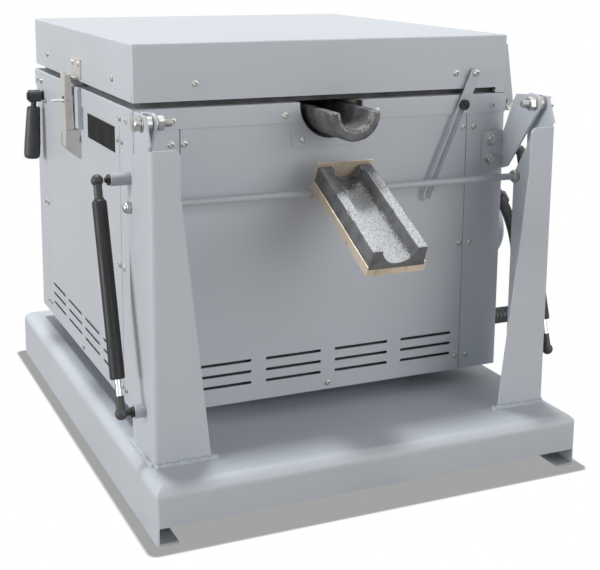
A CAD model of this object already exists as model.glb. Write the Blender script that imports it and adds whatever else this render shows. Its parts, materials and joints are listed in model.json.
"""Looks of a bench-top electric melting furnace that tips forward to pour.

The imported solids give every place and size. This script dresses them: folded
sheet gets soft edges and powder coat, fasteners get real heads, and the pieces
near the melt get chips, wash and soot.
"""

import json
import math

import bmesh
import bpy
from mathutils import Matrix, Vector, noise


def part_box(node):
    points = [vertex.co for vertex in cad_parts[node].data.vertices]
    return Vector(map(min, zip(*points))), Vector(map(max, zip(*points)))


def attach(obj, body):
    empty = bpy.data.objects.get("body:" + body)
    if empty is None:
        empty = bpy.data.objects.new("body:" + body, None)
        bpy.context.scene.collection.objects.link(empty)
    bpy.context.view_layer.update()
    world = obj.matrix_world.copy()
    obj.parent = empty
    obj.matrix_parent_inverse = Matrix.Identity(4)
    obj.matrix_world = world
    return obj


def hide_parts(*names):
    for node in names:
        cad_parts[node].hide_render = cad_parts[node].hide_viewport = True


bl_info = {
    "name": "Tilting melting furnace",
    "version": (1, 0, 0),
    "blender": (4, 5, 0),
    "location": "3D View > Sidebar > Furnace",
    "description": "Dresses a packed melting furnace with sheet edges, fasteners and finishes",
    "category": "Object",
}

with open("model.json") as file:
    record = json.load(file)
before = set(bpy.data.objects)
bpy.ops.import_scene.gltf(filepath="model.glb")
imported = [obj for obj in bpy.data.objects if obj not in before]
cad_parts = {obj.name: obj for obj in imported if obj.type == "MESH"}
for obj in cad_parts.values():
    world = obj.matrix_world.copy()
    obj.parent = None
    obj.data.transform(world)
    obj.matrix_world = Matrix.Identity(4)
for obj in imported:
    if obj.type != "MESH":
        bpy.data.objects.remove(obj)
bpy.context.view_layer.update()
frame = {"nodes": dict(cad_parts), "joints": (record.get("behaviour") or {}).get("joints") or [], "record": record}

MM = 0.001
# Two faces that turn by more than this meet in a sharp edge
SHARP = math.radians(28)
# The same for a chipped piece and for the hose, which are rough all over
SHARP_FIRED = math.radians(50)
SHARP_HOSE = math.radians(60)
BODIES = frame["record"]["behaviour"]["bodies"]
BODY_OF = {node: body for body, nodes in BODIES.items() for node in nodes}
JOINT = {j["name"]: j for j in frame["joints"]}

# The part's source has X = 0 on the furnace's middle and Y = 0 on the pan's front edge
PAN_LOW, PAN_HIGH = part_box("base_pan")
MIDDLE_X = (PAN_LOW[0] + PAN_HIGH[0]) / 2
FRONT_Y = PAN_LOW[1]


def at(x, y, z):
    """A point of the part's source, in millimetres, as a point of the frame."""
    return Vector((MIDDLE_X + x * MM, FRONT_Y + y * MM, z * MM))


# Sizes and colours

# What every colour setting shares, and every lamp
COLOUR = {"subtype": "COLOR", "size": 3, "min": 0, "max": 1}
STRENGTH = {"min": 0, "max": 20}


class FURNACE_PG_paint(bpy.types.PropertyGroup):
    colour: bpy.props.FloatVectorProperty(
        name="Powder coat",
        description="Colour of the powder coat",
        default=(0.54, 0.58, 0.63),
        **COLOUR,
    )
    edge: bpy.props.FloatProperty(
        name="Edge radius",
        description="Radius that the coat leaves on a cut sheet edge",
        default=0.5 * MM,
        min=0.1 * MM,
        max=1.4 * MM,
        unit="LENGTH",
    )
    peel: bpy.props.FloatProperty(
        name="Orange peel",
        description="Width of the coat's fine ripples",
        default=1.3 * MM,
        min=0.3 * MM,
        max=5 * MM,
        unit="LENGTH",
    )


class FURNACE_PG_metal(bpy.types.PropertyGroup):
    zinc: bpy.props.FloatVectorProperty(
        name="Zinc",
        description="Colour of the plated fasteners",
        default=(0.50, 0.50, 0.485),
        **COLOUR,
    )
    stainless: bpy.props.FloatVectorProperty(
        name="Stainless",
        description="Colour of the bare latch sheet",
        default=(0.66, 0.645, 0.62),
        **COLOUR,
    )
    chamfer: bpy.props.FloatProperty(
        name="Head chamfer",
        description="Height of the chamfer on a hexagon head",
        default=0.9 * MM,
        min=0.2 * MM,
        max=2 * MM,
        unit="LENGTH",
    )
    bead: bpy.props.FloatProperty(
        name="Weld bead",
        description="Radius of the weld beads at the uprights' feet",
        default=4.6 * MM,
        min=1 * MM,
        max=6 * MM,
        unit="LENGTH",
    )


class FURNACE_PG_fired(bpy.types.PropertyGroup):
    wash: bpy.props.FloatVectorProperty(
        name="Parting wash",
        description="Colour of the pale wash in the launder's channel",
        default=(0.60, 0.62, 0.645),
        **COLOUR,
    )
    clay: bpy.props.FloatVectorProperty(
        name="Fired clay",
        description="Colour of the bare launder block",
        default=(0.125, 0.128, 0.134),
        **COLOUR,
    )
    graphite: bpy.props.FloatVectorProperty(
        name="Graphite",
        description="Colour of the crucible",
        default=(0.068, 0.068, 0.072),
        **COLOUR,
    )
    chip: bpy.props.FloatProperty(
        name="Chips",
        description="How far the fired surfaces are eaten away",
        default=0.7 * MM,
        min=0,
        max=2 * MM,
        unit="LENGTH",
    )


class FURNACE_PG_stage(bpy.types.PropertyGroup):
    lens: bpy.props.FloatProperty(
        name="Lens",
        description="Focal length of the camera",
        default=71.82,
        unit="CAMERA",
    )
    ambient: bpy.props.FloatProperty(
        name="Room light",
        description="Strength of the light from all round",
        default=0.25,
        min=0,
        max=2,
    )
    overhead: bpy.props.FloatProperty(
        name="Overhead light",
        description="Strength of the light from above and behind",
        default=2.4,
        **STRENGTH,
    )
    left: bpy.props.FloatProperty(
        name="Left light",
        description="Strength of the soft light from the left",
        default=2.3,
        **STRENGTH,
    )
    right: bpy.props.FloatProperty(
        name="Front right light",
        description="Strength of the soft light from the front right",
        default=1.45,
        **STRENGTH,
    )


# Finishes


def feed(tree, socket, value):
    """Wires an input to another node's output, or gives it a value."""
    if isinstance(value, bpy.types.NodeSocket):
        tree.links.new(value, socket)
    elif socket.type == "RGBA":
        socket.default_value = (*value, 1.0)
    else:
        socket.default_value = value


def put(tree, kind, *inputs, operation=None, **named):
    """Adds a shader node and feeds its inputs, in their order or by their names."""
    node = tree.nodes.new(f"ShaderNode{kind}")
    if operation:
        node.operation = operation
    for socket, value in zip(node.inputs, inputs):
        feed(tree, socket, value)
    for name, value in named.items():
        feed(tree, node.inputs[name.replace("_", " ")], value)
    return node


def mark_on(tree, name):
    """The number that a piece's mesh carries under a name."""
    node = put(tree, "Attribute")
    node.attribute_name = name
    return node.outputs["Fac"]


def new_group(name, inputs, outputs):
    """An empty shader group with named sockets: its tree, its entry and its exit."""
    tree = bpy.data.node_groups.new(name, "ShaderNodeTree")
    for socket, default in inputs.items():
        made = tree.interface.new_socket(socket, in_out="INPUT", socket_type="NodeSocketFloat")
        made.default_value = default
    for socket in outputs:
        tree.interface.new_socket(socket, in_out="OUTPUT", socket_type="NodeSocketFloat")
    return tree, tree.nodes.new("NodeGroupInput"), tree.nodes.new("NodeGroupOutput")


def grain_group():
    """Fine grain and broad mottle on the piece's own coordinates."""
    name = "Grain and mottle"
    if name in bpy.data.node_groups:
        return bpy.data.node_groups[name]
    scales = {"Grain scale": 800.0, "Mottle scale": 12.0}
    tree, entry, leave = new_group(name, scales, ("Grain", "Mottle"))
    place = put(tree, "TexCoord").outputs["Object"]
    for pattern, detail in (("Grain", 2.0), ("Mottle", 5.0)):
        scale = entry.outputs[f"{pattern} scale"]
        tex = put(tree, "TexNoise", Vector=place, Scale=scale, Detail=detail)
        tree.links.new(tex.outputs["Fac"], leave.inputs[pattern])
    return tree


def wear_group():
    """Rubbed edges: the edge mark of a softened piece, broken up by noise."""
    name = "Rubbed edges"
    if name in bpy.data.node_groups:
        return bpy.data.node_groups[name]
    tree, entry, leave = new_group(name, {"Amount": 0.5}, ("Wear",))
    place = put(tree, "TexCoord").outputs["Object"]
    tex = put(tree, "TexNoise", Vector=place, Scale=60.0)
    patches = put(tree, "MapRange", Value=tex.outputs["Fac"], From_Min=0.38, From_Max=0.62)
    rubbed = put(tree, "Math", patches.outputs["Result"], mark_on(tree, "edge"), operation="MULTIPLY")
    scaled = put(tree, "Math", rubbed.outputs["Value"], entry.outputs["Amount"], operation="MULTIPLY")
    tree.links.new(scaled.outputs["Value"], leave.inputs["Wear"])
    return tree


class Finish:
    """A material under construction: its node tree and its principled shader."""

    def __init__(self, name, roughness=0.5, metallic=0.0):
        self.mat = bpy.data.materials.new(name)
        self.mat.use_nodes = True
        self.tree = self.mat.node_tree
        self.shader = self.tree.nodes["Principled BSDF"]
        self.shader.inputs["Roughness"].default_value = roughness
        self.shader.inputs["Metallic"].default_value = metallic

    def group(self, tree, **values):
        """Places a shader group with this finish's own values."""
        node = self.tree.nodes.new("ShaderNodeGroup")
        node.node_tree = tree
        for name, value in values.items():
            node.inputs[name.replace("_", " ")].default_value = value
        return node.outputs

    def grain(self, fine, broad):
        return self.group(grain_group(), Grain_scale=fine, Mottle_scale=broad)

    def wear(self, amount):
        return self.group(wear_group(), Amount=amount)["Wear"]

    def mark(self, name):
        return mark_on(self.tree, name)

    def spread(self, value, low, high, start=0.0, end=1.0):
        """Maps the stretch of a value from start to end on to low to high."""
        node = put(self.tree, "MapRange", value, start, end, low, high)
        return node.outputs["Result"]

    def mix(self, factor, first, second):
        """Blends two colours, each a socket or a value."""
        node = self.tree.nodes.new("ShaderNodeMix")
        node.data_type = "RGBA"
        for i, value in ((0, factor), (6, first), (7, second)):
            feed(self.tree, node.inputs[i], value)
        return node.outputs[2]

    def maths(self, operation, a, b):
        return put(self.tree, "Math", a, b, operation=operation).outputs["Value"]

    def noise(self, scale, detail=4.0, stretch=(1, 1, 1), distortion=0.0):
        place = put(self.tree, "TexCoord").outputs["Object"]
        turned = put(self.tree, "Mapping", Vector=place, Scale=stretch).outputs["Vector"]
        tex = put(self.tree, "TexNoise", Vector=turned, Scale=scale, Detail=detail, Distortion=distortion)
        return tex.outputs["Fac"]

    def colour(self, out):
        feed(self.tree, self.shader.inputs["Base Color"], out)

    def rough(self, out):
        feed(self.tree, self.shader.inputs["Roughness"], out)

    def bump(self, height, depth, strength=1.0):
        node = put(self.tree, "Bump", Strength=strength, Distance=depth, Height=height)
        feed(self.tree, self.shader.inputs["Normal"], node.outputs["Normal"])


def shade(colour, factor):
    return tuple(min(1.0, c * factor) for c in colour)


def powder_coat(name, colour, peel, roughness=0.42, worn=0.35):
    """Light grey powder coat: orange peel, faint mottle, rubbed edges."""
    f = Finish(name, roughness)
    g = f.grain(1 / peel, 5.0)
    body = f.mix(f.spread(g["Mottle"], 0, 1, 0.3, 0.7), shade(colour, 0.965), shade(colour, 1.03))
    f.colour(f.mix(f.wear(worn), body, shade(colour, 1.28)))
    f.rough(f.spread(g["Mottle"], roughness - 0.05, roughness + 0.08, 0.3, 0.7))
    f.bump(g["Grain"], 0.00005, 0.35)
    return f.mat


def plated(name, colour, roughness=0.34):
    """Zinc plate with dull patches and brighter edges."""
    f = Finish(name, roughness, 0.85)
    g = f.grain(900.0, 90.0)
    body = f.mix(f.spread(g["Mottle"], 0, 1, 0.35, 0.65), shade(colour, 0.82), shade(colour, 1.12))
    f.colour(f.mix(f.wear(0.5), body, shade(colour, 1.3)))
    f.rough(f.spread(g["Mottle"], roughness - 0.08, roughness + 0.14, 0.35, 0.65))
    f.bump(g["Grain"], 0.00003, 0.4)
    return f.mat


def brushed(name, colour, roughness=0.3, along=(1, 1, 0.04)):
    """Sheet with drawn lines along one direction."""
    f = Finish(name, roughness, 0.7)
    lines = f.noise(900.0, 3.0, along)
    g = f.grain(700.0, 30.0)
    body = f.mix(f.spread(lines, 0, 1, 0.3, 0.7), shade(colour, 0.95), shade(colour, 1.04))
    f.colour(f.mix(f.spread(g["Mottle"], 0, 0.5, 0.45, 0.75), body, shade(colour, 0.86)))
    f.rough(f.spread(lines, roughness - 0.06, roughness + 0.12, 0.3, 0.7))
    f.bump(lines, 0.00002, 0.3)
    return f.mat


def heat_tinted(name):
    """Thin sheet tinted by heat: straw and brown patches with soot."""
    f = Finish(name, 0.42, 0.55)
    g = f.grain(500.0, 26.0)
    soot = f.noise(70.0, 6.0, (1, 1, 1), 0.6)
    straw, brown = (0.82, 0.71, 0.58), (0.68, 0.56, 0.43)
    bright, black = (0.86, 0.80, 0.70), (0.20, 0.165, 0.14)
    tint = f.mix(f.spread(g["Mottle"], 0, 1, 0.35, 0.62), straw, brown)
    worn = f.mix(f.wear(0.9), tint, bright)
    f.colour(f.mix(f.spread(soot, 0, 0.45, 0.58, 0.78), worn, black))
    f.rough(f.spread(g["Mottle"], 0.36, 0.62, 0.3, 0.7))
    f.bump(g["Grain"], 0.00006, 0.4)
    return f.mat


def fired_clay(name, clay, wash):
    """Launder block: bare dark clay, and a pale speckled wash where the metal runs."""
    f = Finish(name, 0.85)
    g = f.grain(650.0, 55.0)
    fine = f.noise(520.0, 8.0)
    patch = f.noise(60.0, 3.0)
    mark = f.mark("wash")
    # the thicker the wash, the fewer grains of clay show through
    thick = f.maths("MULTIPLY", mark, 0.42)
    level = f.maths("ADD", thick, f.maths("MULTIPLY", patch, 0.12))
    cover = f.spread(f.maths("ADD", fine, level), 0.0, 1.0, 0.66, 0.86)
    bare = f.mix(f.spread(g["Mottle"], 0, 1, 0.3, 0.7), shade(clay, 0.8), shade(clay, 1.45))
    clots = f.noise(330.0, 6.0)
    pale = f.mix(f.spread(clots, 0, 1, 0.34, 0.62), shade(wash, 0.68), shade(wash, 1.08))
    covered = f.maths("MULTIPLY", cover, f.spread(mark, 0, 1, 0.0, 0.12))
    f.colour(f.mix(covered, bare, pale))
    f.rough(f.spread(fine, 0.75, 0.95, 0.3, 0.7))
    f.bump(f.maths("ADD", g["Grain"], fine), 0.0004, 0.6)
    return f.mat


def graphite(name, colour):
    """Clay graphite: dull black with pits, pale where its rim is chipped."""
    f = Finish(name, 0.55)
    g = f.grain(350.0, 40.0)
    pits = f.noise(160.0, 6.0, (1, 1, 1), 0.4)
    body = f.mix(f.spread(g["Mottle"], 0, 1, 0.35, 0.65), shade(colour, 0.7), shade(colour, 2.2))
    mark = f.mark("chipped")
    broken = f.maths("MULTIPLY", mark, f.spread(f.noise(620.0, 5.0), 0, 1, 0.46, 0.60))
    fresh = (0.55, 0.55, 0.55)
    f.colour(f.mix(broken, body, fresh))
    f.rough(f.spread(pits, 0.42, 0.72, 0.35, 0.65))
    f.bump(f.maths("ADD", pits, g["Grain"]), 0.0005, 0.6)
    return f.mat


def fibre_board(name):
    """Ceramic fibre: off-white with soft lumps and lint, and a dark felt on marked sides."""
    f = Finish(name, 0.97)
    g = f.grain(900.0, 45.0)
    lint = f.noise(420.0, 5.0, (1, 0.3, 1), 1.2)
    side = f.mark("side")
    lumps = f.spread(g["Mottle"], 0, 1, 0.3, 0.7)
    board = f.mix(lumps, (0.62, 0.59, 0.53), (0.80, 0.78, 0.73))
    felt = f.mix(lumps, (0.080, 0.082, 0.086), (0.14, 0.14, 0.145))
    f.colour(f.mix(side, board, felt))
    f.bump(f.maths("ADD", lint, g["Mottle"]), 0.0011, 0.9)
    return f.mat


def moulded(name, colour, roughness=0.5, sheen=0.5):
    """Dark moulding or lacquer with a fine texture and paler rubbed edges."""
    f = Finish(name, roughness)
    g = f.grain(1500.0, 30.0)
    body = f.mix(f.spread(g["Mottle"], 0, 1, 0.4, 0.7), colour, shade(colour, 1.6))
    f.colour(f.mix(f.wear(0.4), body, shade(colour, 3.4)))
    f.rough(f.spread(g["Mottle"], roughness - 0.08, roughness + 0.14, 0.3, 0.7))
    f.bump(g["Grain"], 0.00005, 0.5)
    f.shader.inputs["Specular IOR Level"].default_value = sheen
    return f.mat


def chrome_rod(name):
    """Ground hard chrome with faint oil streaks."""
    f = Finish(name, 0.12, 1.0)
    streak = f.noise(260.0, 3.0, (1, 1, 0.1))
    f.colour(f.mix(streak, (0.58, 0.59, 0.60), (0.74, 0.75, 0.76)))
    f.rough(f.spread(streak, 0.08, 0.22, 0.3, 0.7))
    return f.mat


FINISHES = {}


def finish(name):
    """The named finish, made on first use from the scene's settings."""
    if name in FINISHES:
        return FINISHES[name]
    scene = bpy.context.scene
    paint, metal, fired = scene.furnace_paint, scene.furnace_metal, scene.furnace_fired
    coat = tuple(paint.colour)
    make = {
        "coat": lambda: powder_coat("powder_coat", coat, paint.peel),
        "bar_coat": lambda: powder_coat("powder_coat_bar", shade(coat, 0.86), paint.peel, 0.38, 0.6),
        "spacer": lambda: powder_coat("spacer_grey", shade(coat, 0.8), paint.peel, 0.5, 0.5),
        "zinc": lambda: plated("zinc_plate", tuple(metal.zinc)),
        "stainless": lambda: brushed("stainless_sheet", tuple(metal.stainless), 0.42),
        "rivet": lambda: brushed("rivet_steel", shade(tuple(metal.stainless), 0.9), 0.36, (1, 1, 1)),
        "tinted": lambda: heat_tinted("heat_tinted_sheet"),
        "clay": lambda: fired_clay("washed_clay", tuple(fired.clay), tuple(fired.wash)),
        "graphite": lambda: graphite("clay_graphite", tuple(fired.graphite)),
        "rods": lambda: graphite("heating_rod_carbide", shade(tuple(fired.graphite), 1.4)),
        "fibre": lambda: fibre_board("ceramic_fibre"),
        "lacquer": lambda: moulded("black_lacquer", (0.020, 0.020, 0.022), 0.42, 0.3),
        "plastic": lambda: moulded("black_moulding", (0.042, 0.042, 0.043), 0.46),
        "sleeve": lambda: moulded("sleeve_polymer", (0.06, 0.062, 0.064), 0.42),
        "hose": lambda: moulded("hose_polymer", (0.085, 0.087, 0.09), 0.40),
        "rubber": lambda: moulded("buffer_rubber", (0.012, 0.012, 0.012), 0.8),
        "chrome": lambda: chrome_rod("hard_chrome"),
        "plate": lambda: moulded("blank_plate", (0.007, 0.007, 0.007), 0.5, 0.12),
        "weld": lambda: powder_coat("coated_weld", shade(coat, 0.97), paint.peel, 0.4, 0.2),
    }[name]
    FINISHES[name] = make()
    return FINISHES[name]


# Mesh helpers


def copied(node):
    """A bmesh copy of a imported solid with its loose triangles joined."""
    bm = bmesh.new()
    bm.from_mesh(frame["nodes"][node].data)
    bmesh.ops.remove_doubles(bm, verts=bm.verts, dist=0.002 * MM)
    return bm


def welded(node):
    """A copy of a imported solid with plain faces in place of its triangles."""
    bm = copied(node)
    bmesh.ops.dissolve_degenerate(bm, edges=bm.edges, dist=0.001 * MM)
    flat = math.radians(0.4)
    bmesh.ops.dissolve_limit(
        bm, angle_limit=flat, verts=bm.verts, edges=bm.edges, use_dissolve_boundaries=False
    )
    return bm


def is_sharp(edge):
    return len(edge.link_faces) == 2 and edge.calc_face_angle(0) > SHARP


def rounded(bm, edges, width, segments):
    """Rounds edges and gives the new faces."""
    made = bmesh.ops.bevel(
        bm,
        geom=edges,
        offset=width,
        offset_type="OFFSET",
        affect="EDGES",
        segments=segments,
        profile=0.5,
        clamp_overlap=True,
        material=-1,
    )
    return made["faces"]


def soften(bm, width, segments=2):
    """Rounds every sharp edge and marks the new faces as edge, for the wear."""
    mark = bm.faces.layers.float.get("edge") or bm.faces.layers.float.new("edge")
    sharp = [edge for edge in bm.edges if is_sharp(edge)]
    if width > 0 and sharp:
        for face in rounded(bm, sharp, width, segments):
            face[mark] = 1.0
    return bm


def erode(bm, cell, depth, scale):
    """Divides a block's long edges and pushes its points in by noise, never out."""
    bmesh.ops.triangulate(bm, faces=bm.faces)
    for _ in range(4):
        long = [e for e in bm.edges if e.calc_length() > cell]
        if not long:
            break
        bmesh.ops.subdivide_edges(bm, edges=long, cuts=1, use_grid_fill=False)
        bmesh.ops.triangulate(bm, faces=[f for f in bm.faces if len(f.verts) > 3])
    bm.normal_update()
    for v in bm.verts:
        # where the noise is lowest a point stays where it is
        amount = noise.fractal(v.co * scale, 1.0, 2.0, 3)
        v.co -= v.normal * depth * max(0.0, 0.35 + amount)


def finished(name, bm, material, body, stands_for=(), sharp=SHARP):
    """Makes an object from a bmesh, gives it its finish and puts it on its body."""
    mesh = bpy.data.meshes.new(name)
    bm.to_mesh(mesh)
    bm.free()
    for polygon in mesh.polygons:
        polygon.use_smooth = True
    mesh.set_sharp_from_angle(angle=sharp)
    mesh.materials.append(finish(material))
    obj = bpy.data.objects.new(name, mesh)
    bpy.context.scene.collection.objects.link(obj)
    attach(obj, body)
    if stands_for:
        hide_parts(*stands_for)
    return obj


def stand_in(name, bm, material, node, sharp=SHARP):
    """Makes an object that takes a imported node's place, on its body and in its slot."""
    return finished(name, bm, material, BODY_OF[node], [node], sharp)


def dress(node, material, width=0.0, segments=2):
    """Stands a softened copy of a solid in its place."""
    obj = stand_in(f"{node}_dressed", soften(welded(node), width, segments), material, node)
    weighted = obj.modifiers.new("Even shading", "WEIGHTED_NORMAL")
    weighted.keep_sharp = True


def dress_all(nodes, material, width, segments=2):
    for node in nodes:
        dress(node, material, width, segments)


def lagged(node):
    """Dresses a fibre piece and marks its outer sides, which a dark felt covers."""
    bm = soften(welded(node), 1.5 * MM, 3)
    low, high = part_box(node)
    half = (high[0] - low[0]) / 2
    middle_y = (low[1] + high[1]) / 2
    mark = bm.faces.layers.float.new("side")
    bm.normal_update()
    for face in bm.faces:
        centre = face.calc_center_median()
        away = max(abs(centre.x - MIDDLE_X), abs(centre.y - middle_y))
        face[mark] = 1.0 if abs(face.normal.z) < 0.8 and away > half * 0.8 else 0.0
    stand_in(f"{node}_fibre", bm, "fibre", node)


def islands(node):
    """The separate solids of a node: (middle, low corner, high corner) of each."""
    bm = copied(node)
    seen, found = set(), []
    for start in bm.verts:
        if start.index in seen:
            continue
        group, queue = [], [start]
        seen.add(start.index)
        while queue:
            v = queue.pop()
            group.append(v.co.copy())
            for e in v.link_edges:
                other = e.other_vert(v)
                if other.index not in seen:
                    seen.add(other.index)
                    queue.append(other)
        low = Vector(min(c[i] for c in group) for i in range(3))
        high = Vector(max(c[i] for c in group) for i in range(3))
        found.append(((low + high) / 2, low, high))
    bm.free()
    return found


def side_of(middle, low, high):
    """The side a solid lies on, 1 right and -1 left, with its X inside and outside."""
    if middle.x > MIDDLE_X:
        return 1, low.x, high.x
    return -1, high.x, low.x


def spun(profile, steps=32, corner=None):
    """Turns (radius, height) points round Z. corner(angle, radius, height) scales a radius."""
    bm = bmesh.new()
    points = [bm.verts.new((r, 0, h)) for r, h in profile]
    line = [bm.edges.new(pair) for pair in zip(points, points[1:])]
    bmesh.ops.spin(
        bm,
        geom=points + line,
        cent=(0, 0, 0),
        axis=(0, 0, 1),
        angle=2 * math.pi,
        steps=steps,
        use_merge=True,
        use_duplicate=False,
    )
    if corner:
        for v in bm.verts:
            r = math.hypot(v.co.x, v.co.y)
            if r > 1e-7:
                k = corner(math.atan2(v.co.y, v.co.x), r, v.co.z)
                v.co.x *= k
                v.co.y *= k
    bmesh.ops.remove_doubles(bm, verts=bm.verts, dist=1e-6)
    bmesh.ops.recalc_face_normals(bm, faces=bm.faces)
    return bm


def hexagon(angle):
    """Radius of a hexagon of unit half-width, seen at an angle."""
    turn = (angle + math.pi / 6) % (math.pi / 3) - math.pi / 6
    return 1 / math.cos(turn)


def pointing(place, axis, spin=0.0):
    """A matrix that stands a piece's Z along an axis, at a place."""
    turn = Vector((0, 0, 1)).rotation_difference(Vector(axis)).to_matrix().to_4x4()
    return Matrix.Translation(place) @ turn @ Matrix.Rotation(spin, 4, "Z")


def add(bm, part, matrix, keep=False):
    """Adds a small bmesh to another, placed by a matrix."""
    mesh = bpy.data.meshes.new("spare")
    part.to_mesh(mesh)
    mesh.transform(matrix)
    bm.from_mesh(mesh)
    bpy.data.meshes.remove(mesh)
    if not keep:
        part.free()


# Fasteners, each standing on Z = 0


def button_head(radius, height):
    """Domed screw head on a thin flange, with a deep hexagon socket."""
    inner = radius * 0.40
    profile = [
        (radius, 0),
        (radius, height * 0.16),
        (radius * 0.97, height * 0.26),
        (radius * 0.82, height * 0.30),
        (radius * 0.80, height * 0.62),
        (radius * 0.70, height * 0.88),
        (radius * 0.56, height),
        (inner * 1.2, height * 1.0),
        (inner, height * 0.92),
        (inner * 0.98, height * 0.08),
        (0, height * 0.05),
    ]

    def corner(angle, r, z):
        return hexagon(angle) if r < inner * 1.01 else 1.0

    return spun(profile, 24, corner)


def hex_head(flats, height, chamfer, recess=0.0):
    """Hexagon head: true flats, round chamfer on top."""
    half = flats / 2
    top = half * 0.94

    def corner(angle, r, z):
        if r < top * 0.98:
            return 1.0
        full = hexagon(angle) * half
        if z > height - chamfer * 0.2:
            return 1.0
        if z > height - chamfer * 1.2:
            return min(full, half * 1.06) / r
        return full / r

    profile = [
        (half, 0),
        (half, height - chamfer * 1.3),
        (half * 0.999, height - chamfer),
        (top, height),
        (top * 0.6, height - recess),
        (0, height - recess),
    ]
    return spun(profile, 36, corner)


def washer(radius, bore, height):
    """Flat ring with broken edges."""
    e = min(0.3 * MM, height / 4)
    profile = [
        (bore, 0),
        (radius - e, 0),
        (radius, e),
        (radius, height - e),
        (radius - e, height),
        (bore, height),
        (bore, 0),
    ]
    return spun(profile, 40)


def threaded(radius, length, pitch=1.5 * MM):
    """Screw end with its thread as close rings and a chamfered tip."""
    profile = [(radius * 0.9, 0)]
    count = max(2, int(length / pitch))
    for i in range(count):
        z = length * i / count
        profile.append((radius * 0.9, z + 0.1 * length / count))
        profile.append((radius, z + 0.5 * length / count))
        profile.append((radius * 0.9, z + 0.9 * length / count))
    profile += [(radius * 0.8, length), (0, length)]
    return spun(profile, 24)


def only_at(half):
    """Draws the circle of one radius out to a hexagon and leaves the others round."""

    def corner(angle, r, z):
        return hexagon(angle) if abs(r - half) < 0.001 * MM else 1.0

    return corner


def hex_nut(flats, height, bore, chamfer):
    """Hexagon nut with both rims chamfered and its bore open."""
    half = flats / 2
    top = half * 0.94
    profile = [
        (bore, 0),
        (top, 0),
        (half, chamfer * 0.8),
        (half, height - chamfer * 0.8),
        (top, height),
        (bore * 1.1, height),
        (bore, height - 0.4 * MM),
        (bore, 0),
    ]
    return spun(profile, 36, only_at(half))


def cap_nut(flats, hexagon_h, height):
    """Domed nut."""
    half = flats / 2
    dome = half * 0.9
    rise = height - hexagon_h
    rim = 0.6 * MM
    profile = [(0, 0), (half * 0.94, 0), (half, rim), (half, hexagon_h - rim), (dome, hexagon_h)]
    for i in range(1, 9):
        a = math.pi / 2 * i / 8
        profile.append((dome * math.cos(a), hexagon_h + rise * math.sin(a)))
    return spun(profile, 36, only_at(half))


# The furnace's pieces


class FurnaceOperator:
    bl_options = {"REGISTER", "UNDO"}


class FURNACE_OT_base(FurnaceOperator, bpy.types.Operator):
    """Base pan, uprights, cross bar, strut spacers and buffers"""

    bl_idname = "furnace.base"
    bl_label = "Base and uprights"

    def execute(self, context):
        edge = context.scene.furnace_paint.edge
        dress("base_pan", "coat", edge * 0.8)
        dress_all(("upright_left", "upright_right"), "coat", edge * 1.2)
        dress("cross_bar", "bar_coat", 0.8 * MM)
        dress_all(("strut_low_spacers", "strut_up_spacers"), "spacer", 1.0 * MM)
        dress("rest_buffers", "rubber", 2.0 * MM, 3)
        return {"FINISHED"}


class FURNACE_OT_welds(FurnaceOperator, bpy.types.Operator):
    """Rippled weld beads along the uprights' feet"""

    bl_idname = "furnace.welds"
    bl_label = "Weld beads"

    def execute(self, context):
        r = context.scene.furnace_metal.bead
        floor = PAN_HIGH[2] + r * 0.15
        past, short = 6 * MM, 4 * MM
        bm = bmesh.new()
        for node in ("upright_left", "upright_right"):
            low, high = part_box(node)
            left = node.endswith("left")
            outer, inner = (low[0], high[0]) if left else (high[0], low[0])
            out = -1 if left else 1
            front = low[1]
            # the front bead runs past the inner corner, and both stop short of the outer one
            start = Vector((inner - out * past, front, floor))
            lay_bead(bm, r, start, Vector((outer - out * short, front, floor)))
            start = Vector((outer, front + past, floor))
            lay_bead(bm, r, start, Vector((outer, high[1], floor)))
        finished("weld_beads", bm, "weld", "base", sharp=math.pi)
        return {"FINISHED"}


def lay_bead(bm, r, start, end):
    """A run of flattened drops, each a little larger or smaller than the one before."""
    flat = 0.62
    drop = bmesh.new()
    bmesh.ops.create_uvsphere(drop, u_segments=10, v_segments=6, radius=1.0)
    line = end - start
    count = max(2, int(line.length / (r * flat)))
    along = line.normalized()
    for i in range(count + 1):
        wobble = noise.noise(Vector((i * 0.7, start.x * 90, start.y * 90)))
        size = r * (1 + 0.16 * wobble)
        place = start + line * i / count
        place += Vector((0, 0, 0.25 * r * wobble))
        matrix = pointing(place, along) @ Matrix.Diagonal((size, size, size * flat, 1))
        add(bm, drop, matrix, keep=True)
    drop.free()


# Pivot bolts: width over the flats, height of the head, radius and threaded length
BOLT_FLATS = 16 * MM
BOLT_HEAD = 6.4 * MM
BOLT_RADIUS = 5 * MM
BOLT_THREAD = 26 * MM


class FURNACE_OT_pivots(FurnaceOperator, bpy.types.Operator):
    """Pivot bolts with washers and nuts, and the cross bar's cap nuts"""

    bl_idname = "furnace.pivots"
    bl_label = "Pivots"

    def execute(self, context):
        chamfer = context.scene.furnace_metal.chamfer
        pivot = Vector(JOINT["furnace_tilt"]["pos_m"])
        pivot_bolts(pivot, chamfer)
        pivot_rings(pivot, chamfer)
        cross_bar_nuts()
        return {"FINISHED"}


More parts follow.
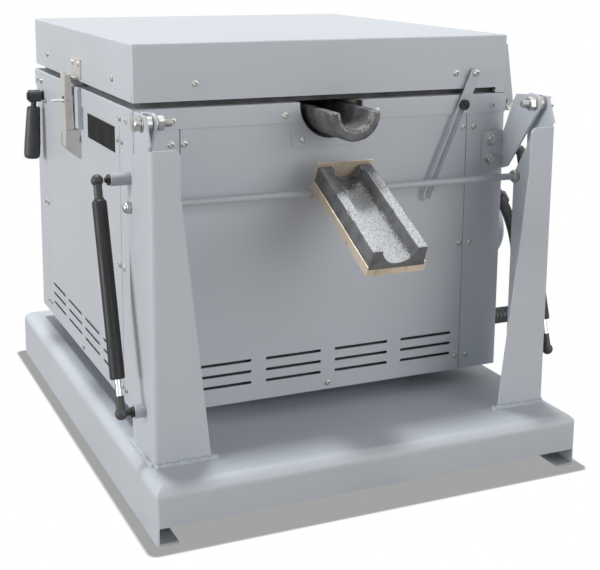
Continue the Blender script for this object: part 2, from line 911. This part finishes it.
def pivot_bolts(pivot, chamfer):
    """Hexagon head outside, plain shank and threaded end."""
    bm = bmesh.new()
    for solid in islands("pivot_bolts"):
        side, inner, outer = side_of(*solid)
        seat = Vector((outer - side * BOLT_HEAD, pivot.y, pivot.z))
        head = hex_head(BOLT_FLATS, BOLT_HEAD, chamfer)
        add(bm, head, pointing(seat, (side, 0, 0), spin=0.2))
        length = abs(seat.x - inner)
        shank = length - BOLT_THREAD
        step = (BOLT_RADIUS * 0.9, shank + 0.3 * MM)
        plain = spun([(BOLT_RADIUS, 0), (BOLT_RADIUS, shank), step], 24)
        add(bm, plain, pointing(seat, (-side, 0, 0)))
        start = seat + Vector((-side * shank, 0, 0))
        add(bm, threaded(BOLT_RADIUS, length - shank), pointing(start, (-side, 0, 0)))
    stand_in("pivot_bolts_threaded", bm, "zinc", "pivot_bolts")


def pivot_rings(pivot, chamfer):
    """The bolts' washers and nuts. A nut is thick, and higher than it is wide."""
    bm = bmesh.new()
    for solid in islands("pivot_hardware"):
        side, inner, _ = side_of(*solid)
        size = solid[2] - solid[1]
        radius = size.y / 2
        start = Vector((inner, pivot.y, pivot.z))
        if size.x > 7.5 * MM and radius > 7.9 * MM and size.z > radius * 2.1:
            nut = hex_nut(BOLT_FLATS, size.x, BOLT_RADIUS, chamfer)
            add(bm, nut, pointing(start, (side, 0, 0), spin=0.35))
        else:
            ring = washer(radius, BOLT_RADIUS + 0.25 * MM, size.x)
            add(bm, ring, pointing(start, (side, 0, 0)))
    stand_in("pivot_washers_nuts", bm, "zinc", "pivot_hardware")


def cross_bar_nuts():
    """Plain nuts inside the uprights and cap nuts outside."""
    nut_flats, nut_bore, nut_chamfer = 15 * MM, 4.6 * MM, 0.8 * MM
    cap_flats, cap_hexagon = 14 * MM, 6 * MM
    bm = bmesh.new()
    bar_low, bar_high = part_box("cross_bar")
    y, z = (bar_low[1] + bar_high[1]) / 2, (bar_low[2] + bar_high[2]) / 2
    upright_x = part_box("upright_right")[1][0] - MIDDLE_X
    for solid in islands("cross_bar_nuts"):
        side, inner, outer = side_of(*solid)
        height = abs(outer - inner)
        start = Vector((inner, y, z))
        if abs(solid[0].x - MIDDLE_X) < upright_x:
            nut = hex_nut(nut_flats, height, nut_bore, nut_chamfer)
            add(bm, nut, pointing(start, (side, 0, 0), spin=0.4))
        else:
            cap = cap_nut(cap_flats, cap_hexagon, height)
            add(bm, cap, pointing(start, (side, 0, 0), spin=0.1))
    stand_in("cross_bar_cap_nuts", bm, "zinc", "cross_bar_nuts")


class FURNACE_OT_box(FurnaceOperator, bpy.types.Operator):
    """Furnace box: posts, panels, collar, arms, covers and the lining behind the gap"""

    bl_idname = "furnace.box"
    bl_label = "Furnace box"

    def execute(self, context):
        edge = context.scene.furnace_paint.edge
        dress_all(("panel_front", "panel_rear", "panel_left", "panel_right"), "coat", edge * 0.7)
        dress_all(("corner_posts", "collar", "bottom_plate"), "coat", edge)
        dress_all(("pivot_arm_left", "pivot_arm_right", "body_hinge_brackets"), "coat", edge * 1.2)
        dress("latch_block", "coat", edge * 1.6)
        dress("terminal_housing", "coat")
        dress("rear_cover", "coat", edge * 1.2)
        dress("name_plate", "plate", 0.25 * MM)
        lagged("lining")
        dress("crucible_stand", "fibre", 2.0 * MM)
        dress("heating_rods", "rods", 0.8 * MM)
        dress("thermocouple", "rivet", 1.0 * MM)
        return {"FINISHED"}


class FURNACE_OT_fasteners(FurnaceOperator, bpy.types.Operator):
    """Socket screws of the panels, collar and lid, the arms' bolts and the hinge pins"""

    bl_idname = "furnace.fasteners"
    bl_label = "Fasteners"

    def execute(self, context):
        chamfer = context.scene.furnace_metal.chamfer
        low, high = (Vector(corner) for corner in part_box("corner_posts"))
        for node in ("panel_screws", "collar_screws", "lid_screws"):
            socket_screws(node, low, high)
        arm_bolts(chamfer)
        hinge_pins(chamfer, (low.y + high.y) / 2)
        return {"FINISHED"}


def socket_screws(node, box_low, box_high):
    """The screws of a node. Those near the box's corners were coated with the box."""
    corner_width = 30 * MM
    heart = (box_low + box_high) / 2
    plain, painted = bmesh.new(), bmesh.new()
    for i, (centre, low, high) in enumerate(islands(node)):
        size = high - low
        k = min(range(3), key=lambda n: size[n])
        side = 1 if centre[k] > heart[k] else -1
        axis = Vector((0, 0, 0))
        axis[k] = side
        base = centre.copy()
        base[k] = low[k] if side > 0 else high[k]
        across = 1 - k if k < 2 else 0
        inset = min(centre[across] - box_low[across], box_high[across] - centre[across])
        bm = painted if k < 2 and inset < corner_width else plain
        add(bm, button_head(max(size) / 2, size[k]), pointing(base, axis, spin=i * 1.1))
    stand_in(f"{node}_heads", plain, "zinc", node)
    if painted.verts:
        stand_in(f"{node}_coated", painted, "coat", node)
    else:
        painted.free()


def arm_bolts(chamfer):
    """The bolts that hold the pivot arms, each on a washer."""
    thick, bore, flats = 1.6 * MM, 4.2 * MM, 13 * MM
    bm = bmesh.new()
    for i, (centre, low, high) in enumerate(islands("arm_bolts")):
        base = Vector((centre.x, high.y, centre.z))
        add(bm, washer((high.x - low.x) / 2, bore, thick), pointing(base, (0, -1, 0)))
        seat = base + Vector((0, -thick, 0))
        head = hex_head(flats, high.y - low.y - thick, chamfer, 0.25 * MM)
        add(bm, head, pointing(seat, (0, -1, 0), spin=0.5 + i * 0.7))
    stand_in("arm_bolts_heads", bm, "zinc", "arm_bolts")


def hinge_pins(chamfer, heart_y):
    """The lid's two hinge pins: washer, hexagon head, threaded shank and clip."""
    thick, radius = 1.6 * MM, 3.5 * MM
    flats, height = 15 * MM, 5.4 * MM
    clip_radius, clip_bore, clip_width, clip_in = 5 * MM, 3.4 * MM, 3 * MM, 4 * MM
    bm = bmesh.new()
    axis_x, _, axis_z = JOINT["lid_hinge"]["pos_m"]
    for centre, low, high in islands("hinge_pins"):
        front = centre.y < heart_y
        way = -1 if front else 1
        outer, inner = (low.y, high.y) if front else (high.y, low.y)
        seat = Vector((axis_x, outer - way * (thick + height), axis_z))
        add(bm, washer(7.5 * MM, radius, thick), pointing(seat, (0, way, 0)))
        seat = seat + Vector((0, way * thick, 0))
        head = hex_head(flats, height, chamfer, 0.3 * MM)
        add(bm, head, pointing(seat, (0, way, 0), spin=math.pi / 6))
        add(bm, threaded(radius, abs(inner - seat.y)), pointing(seat, (0, -way, 0)))
        clip = Vector((axis_x, inner + way * clip_in, axis_z))
        add(bm, washer(clip_radius, clip_bore, clip_width), pointing(clip, (0, -way, 0)))
    stand_in("hinge_pin_bolts", bm, "zinc", "hinge_pins")


class FURNACE_OT_lid(FurnaceOperator, bpy.types.Operator):
    """Lid with its fibre, hinge brackets and the slotted stay"""

    bl_idname = "furnace.lid"
    bl_label = "Lid and stay"

    def execute(self, context):
        edge = context.scene.furnace_paint.edge
        dress("lid_shell", "coat", edge)
        lagged("lid_insulation")
        dress("lid_hinge_brackets", "coat", edge * 1.2)
        dress("stay_bar", "bar_coat", edge)
        stay_screw()
        dress("guide_screw", "lacquer", 0.5 * MM)
        return {"FINISHED"}


def stay_screw():
    """The screw the stay hangs on: its head in front, a spacer behind and its shank."""
    gap = 0.3 * MM
    low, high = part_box("stay_pivot")
    bar_low, bar_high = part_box("stay_bar")
    pivot = Vector(JOINT["stay_swing"]["pos_m"])
    face = Vector((pivot.x, bar_low[1] - gap, pivot.z))
    back = pointing(Vector((pivot.x, high[1], pivot.z)), (0, -1, 0))
    bm = bmesh.new()
    add(bm, button_head(5.2 * MM, face.y - low[1]), pointing(face, (0, -1, 0), spin=0.3))
    add(bm, washer(5.4 * MM, 2.6 * MM, high[1] - bar_high[1] - gap), back)
    add(bm, washer(2.5 * MM, 1.0 * MM, high[1] - face.y), back)
    stand_in("stay_pivot_screw", bm, "zinc", "stay_pivot")


class FURNACE_OT_launder(FurnaceOperator, bpy.types.Operator):
    """Launder block with chipped edges in its heat-tinted tray"""

    bl_idname = "furnace.launder"
    bl_label = "Launder"

    def execute(self, context):
        chip = context.scene.furnace_fired.chip
        bm = soften(welded("launder_block"), 1.6 * MM, 3)
        erode(bm, 4.0 * MM, chip, 55.0)
        mark_wash(bm)
        stand_in("launder_block_fired", bm, "clay", "launder_block", sharp=SHARP_FIRED)
        dress("launder_tray", "tinted", 0.35 * MM)
        return {"FINISHED"}


def mark_wash(bm):
    """Marks where the wash lies: on the channel's floor and low on the flats beside it."""
    low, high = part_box("launder_block")
    half = (high[0] - low[0]) / 2
    mark = bm.verts.layers.float.new("wash")
    bm.normal_update()
    up = sum((v.normal for v in bm.verts if v.normal.z > 0.8), Vector()).normalized()
    for v in bm.verts:
        down = (high[1] - v.co.y) / (high[1] - low[1])
        across = (v.co.x - MIDDLE_X) / half
        # the upper end of the wash is ragged, and lies lowest on the left flat
        begins = 0.36 if across < -0.5 else 0.13 if across > 0.5 else 0.12
        begins += 0.07 * noise.noise(v.co * 60)
        reach = min(1.0, max(0.0, (down - begins) / 0.10))
        facing = min(1.0, max(0.0, (v.normal.dot(up) - 0.62) / 0.22))
        thick = 1.0 if abs(across) < 0.5 else 0.78
        v[mark] = reach * facing * thick


class FURNACE_OT_crucible(FurnaceOperator, bpy.types.Operator):
    """Crucible with the chipped rim of its spout"""

    bl_idname = "furnace.crucible"
    bl_label = "Crucible"

    def execute(self, context):
        chip = context.scene.furnace_fired.chip
        low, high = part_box("crucible")
        front, rim = low[1], high[2]
        outside = 29 * MM
        bm = welded("crucible")
        lip = [
            edge
            for edge in bm.edges
            if is_sharp(edge)
            and all(v.co.y < front + 0.6 * MM and from_trough(v.co, rim) > outside for v in edge.verts)
        ]
        rounded(bm, lip, 3.5 * MM, 4)
        soften(bm, 1.6 * MM, 3)
        erode(bm, 3.5 * MM, chip * 0.8, 70.0)
        mark_chips(bm, front, rim)
        stand_in("crucible_fired", bm, "graphite", "crucible", sharp=SHARP_FIRED)
        return {"FINISHED"}


def from_trough(point, rim):
    """Distance of a point from the middle line of the spout's trough."""
    return math.hypot(point.x - MIDDLE_X, point.z - rim)


def mark_chips(bm, front, rim):
    """Marks the chipped places: the trough's edge at the front and the spout's two tips."""
    mark = bm.verts.layers.float.new("chipped")
    for v in bm.verts:
        arc = v.co.y < front + 3 * MM and from_trough(v.co, rim) < 26 * MM
        tip = v.co.y < front + 16 * MM and v.co.z > rim - 2.2 * MM
        v[mark] = 1.0 if arc or tip else 0.0


class FURNACE_OT_struts(FurnaceOperator, bpy.types.Operator):
    """Gas struts with lacquered cylinders, ball sockets and ground rods"""

    bl_idname = "furnace.struts"
    bl_label = "Gas struts"

    def execute(self, context):
        for side in ("left", "right"):
            dress(f"strut_{side}_cylinder", "lacquer", 0.4 * MM)
            dress(f"strut_{side}_upper_socket", "plastic", 0.6 * MM)
            dress(f"strut_{side}_lower_socket", "plastic", 0.6 * MM)
            dress(f"strut_{side}_rod", "chrome", 0.3 * MM)
        dress_all(("strut_low_studs", "strut_up_studs"), "lacquer", 0.5 * MM)
        return {"FINISHED"}


class FURNACE_OT_latch(FurnaceOperator, bpy.types.Operator):
    """Stainless toggle latch with its lever, keeper and wire loop"""

    bl_idname = "furnace.latch"
    bl_label = "Latch"

    def execute(self, context):
        dress("latch_base", "stainless", 0.3 * MM)
        dress("latch_lever", "stainless", 0.35 * MM)
        dress("latch_keeper", "stainless", 0.3 * MM)
        dress("split_pin", "rivet")
        return {"FINISHED"}


class FURNACE_OT_handle(FurnaceOperator, bpy.types.Operator):
    """Hanging grip of the tilting handle on its stud"""

    bl_idname = "furnace.handle"
    bl_label = "Tilting handle"

    def execute(self, context):
        dress("tilt_handle", "plastic", 0.8 * MM, 3)
        dress("handle_stud", "lacquer", 0.5 * MM)
        return {"FINISHED"}


# The supply hose: its start, two points that pull its curve, and its end
HOSE_ROUTE = (at(278, 0, 327), at(310, 0, 275.7), at(310, 0, 231.3), at(310, 0, 187))
HOSE_RADIUS = 8 * MM
HOSE_RIB = 1.2 * MM
HOSE_RIBS = 52


class FURNACE_OT_hose(FurnaceOperator, bpy.types.Operator):
    """Ribbed supply hose between its two elbows"""

    bl_idname = "furnace.hose"
    bl_label = "Supply hose"

    def execute(self, context):
        dress("hose_glands", "sleeve", 0.5 * MM)
        low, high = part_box("supply_hose")
        plane = (low[1] + high[1]) / 2
        bm = bmesh.new()
        before = None
        total = HOSE_RIBS * 4
        for i in range(total + 1):
            place, way = on_curve(*HOSE_ROUTE, i / total)
            place.y = plane
            wave = 0.5 + 0.5 * math.cos(2 * math.pi * HOSE_RIBS * i / total)
            matrix = pointing(place, way.normalized())
            radius = HOSE_RADIUS - HOSE_RIB * (1 - wave)
            ring = bmesh.ops.create_circle(bm, segments=20, radius=radius, matrix=matrix)["verts"]
            if before:
                edges = {e for v in ring + before for e in v.link_edges}
                bmesh.ops.bridge_loops(bm, edges=[e for e in edges if len(e.link_faces) < 2])
            before = ring
        bmesh.ops.recalc_face_normals(bm, faces=bm.faces)
        stand_in("supply_hose_ribbed", bm, "hose", "supply_hose", sharp=SHARP_HOSE)
        return {"FINISHED"}


def on_curve(a, b, c, d, t):
    """Place and direction on a cubic curve from a to d."""
    u = 1 - t
    place = a * u**3 + b * 3 * t * u**2 + c * 3 * t * t * u + d * t**3
    way = (b - a) * 3 * u**2 + (c - b) * 6 * t * u + (d - c) * 3 * t * t
    return place, way


# The stage: the camera's place and turn as they were found from the photograph
EYE = at(-663.9, -1217.9, 674.4)
EYE_TURN = (79.056, -0.493, -24.154)
EYE_SHIFT = -0.175
SENSOR = 36.0
# Width of the shade round the pan: full up to the first, gone at the second
SHADE = (9.5 * MM, 15 * MM)
SHADE_LEVEL = 0.365


class FURNACE_OT_stage(FurnaceOperator, bpy.types.Operator):
    """Pale floor, white surroundings, soft lamps and the camera"""

    bl_idname = "furnace.stage"
    bl_label = "Stage"

    def execute(self, context):
        scene = context.scene
        setup = scene.furnace_stage
        scene.view_settings.view_transform = "Standard"
        bm = bmesh.new()
        bmesh.ops.create_grid(bm, x_segments=2, y_segments=2, size=9.0)
        mesh = bpy.data.meshes.new("floor")
        bm.to_mesh(mesh)
        bm.free()
        floor = bpy.data.objects.new("floor", mesh)
        scene.collection.objects.link(floor)
        mesh.materials.append(floor_material())
        light_room(scene, setup.ambient)
        hang_lamps(scene, setup)
        place_camera(scene, setup.lens)
        return {"FINISHED"}


def place_camera(scene, lens):
    """Stands the camera where the photograph was taken from."""
    camera = bpy.data.cameras.new("camera")
    camera.sensor_width = SENSOR
    camera.sensor_fit = "HORIZONTAL"
    camera.lens = lens
    camera.shift_y = EYE_SHIFT
    camera.clip_start = 0.05
    camera.clip_end = 60
    eye = bpy.data.objects.new("camera", camera)
    eye.location = EYE
    eye.rotation_euler = [math.radians(angle) for angle in EYE_TURN]
    scene.collection.objects.link(eye)
    scene.camera = eye


def floor_material():
    """White to the camera but for the shade close round the pan; grey to bounced light."""
    mat = bpy.data.materials.new("pale_floor")
    mat.use_nodes = True
    tree = mat.node_tree
    tree.nodes.clear()
    half = (Vector(PAN_HIGH) - Vector(PAN_LOW)) / 2
    # the shade leans a little towards the camera
    heart = (Vector(PAN_HIGH) + Vector(PAN_LOW)) / 2 + Vector((-3 * MM, -9 * MM, 0))
    # distance of a floor point outside the pan's footprint
    reach = put(tree, "TexCoord").outputs["Object"]
    for operation, value in (
        ("SUBTRACT", (heart.x, heart.y, 0)),
        ("ABSOLUTE", None),
        ("SUBTRACT", (half.x, half.y, 0)),
        ("MAXIMUM", (0, 0, 0)),
        ("LENGTH", None),
    ):
        inputs = (reach, value) if value else (reach,)
        step = put(tree, "VectorMath", *inputs, operation=operation)
        reach = step.outputs["Value" if operation == "LENGTH" else "Vector"]
    edge = put(tree, "MapRange", reach, *SHADE, SHADE_LEVEL, 1.0)
    edge.interpolation_type = "SMOOTHSTEP"
    seen = put(tree, "Emission", Strength=edge.outputs["Result"])
    plain = put(tree, "BsdfDiffuse", Color=(0.40, 0.385, 0.37))
    camera_ray = put(tree, "LightPath").outputs["Is Camera Ray"]
    mix = put(tree, "MixShader", camera_ray, plain.outputs[0], seen.outputs[0])
    put(tree, "OutputMaterial", Surface=mix.outputs[0])
    return mat


def light_room(scene, ambient):
    """A dim warm room for bounced light, white to the camera and in reflections."""
    world = bpy.data.worlds.new("white_room")
    scene.world = world
    world.use_nodes = True
    tree = world.node_tree
    tree.nodes.clear()
    rays = put(tree, "LightPath").outputs
    white = rays["Is Camera Ray"]
    for kind in ("Is Transmission Ray", "Is Glossy Ray"):
        white = put(tree, "Math", white, rays[kind], operation="MAXIMUM").outputs["Value"]
    room = put(tree, "Background", Color=(1.0, 0.975, 0.95), Strength=ambient)
    clear = put(tree, "Background", Color=(1, 1, 1), Strength=1.0)
    mix = put(tree, "MixShader", white, room.outputs[0], clear.outputs[0])
    put(tree, "OutputWorld", Surface=mix.outputs[0])


def hang_lamps(scene, setup):
    """Three soft suns, each by its compass direction, height, strength and spread."""
    for name, compass, height, strength, spread in (
        ("lamp_overhead", 180, 75, setup.overhead, 10),
        ("lamp_left", -88, 6, setup.left, 30),
        ("lamp_right", 34, 8, setup.right, 55),
    ):
        light = bpy.data.lights.new(name, "SUN")
        light.energy = strength
        light.angle = math.radians(spread)
        turn, rise = math.radians(compass), math.radians(height)
        level = math.cos(rise)
        towards = Vector((math.sin(turn) * level, -math.cos(turn) * level, math.sin(rise)))
        lamp = bpy.data.objects.new(name, light)
        lamp.location = at(0, 370, 300) + towards * 3
        lamp.rotation_euler = towards.to_track_quat("Z", "Y").to_euler()
        scene.collection.objects.link(lamp)


# The add-on

OPERATORS = (
    FURNACE_OT_stage,
    FURNACE_OT_base,
    FURNACE_OT_welds,
    FURNACE_OT_pivots,
    FURNACE_OT_box,
    FURNACE_OT_fasteners,
    FURNACE_OT_lid,
    FURNACE_OT_launder,
    FURNACE_OT_crucible,
    FURNACE_OT_struts,
    FURNACE_OT_latch,
    FURNACE_OT_handle,
    FURNACE_OT_hose,
)
GROUPS = {
    "furnace_paint": FURNACE_PG_paint,
    "furnace_metal": FURNACE_PG_metal,
    "furnace_fired": FURNACE_PG_fired,
    "furnace_stage": FURNACE_PG_stage,
}


class FURNACE_PT_panel(bpy.types.Panel):
    """Lists the furnace's pieces and their settings"""

    bl_idname = "FURNACE_PT_panel"
    bl_label = "Melting furnace"
    bl_space_type = "VIEW_3D"
    bl_region_type = "UI"
    bl_category = "Furnace"

    def draw(self, context):
        layout = self.layout
        for name, group in GROUPS.items():
            box = layout.box()
            settings = getattr(context.scene, name)
            for prop in group.__annotations__:
                box.prop(settings, prop)
        for operator in OPERATORS:
            layout.operator(operator.bl_idname)


def register():
    for name, group in GROUPS.items():
        bpy.utils.register_class(group)
        setattr(bpy.types.Scene, name, bpy.props.PointerProperty(type=group))
    for operator in OPERATORS:
        bpy.utils.register_class(operator)
    bpy.utils.register_class(FURNACE_PT_panel)


def unregister():
    bpy.utils.unregister_class(FURNACE_PT_panel)
    for operator in reversed(OPERATORS):
        bpy.utils.unregister_class(operator)
    for name, group in GROUPS.items():
        delattr(bpy.types.Scene, name)
        bpy.utils.unregister_class(group)


def main():
    register()
    for operator in OPERATORS:
        family, name = operator.bl_idname.split(".")
        getattr(getattr(bpy.ops, family), name)()


if __name__ == "__main__":
    main()
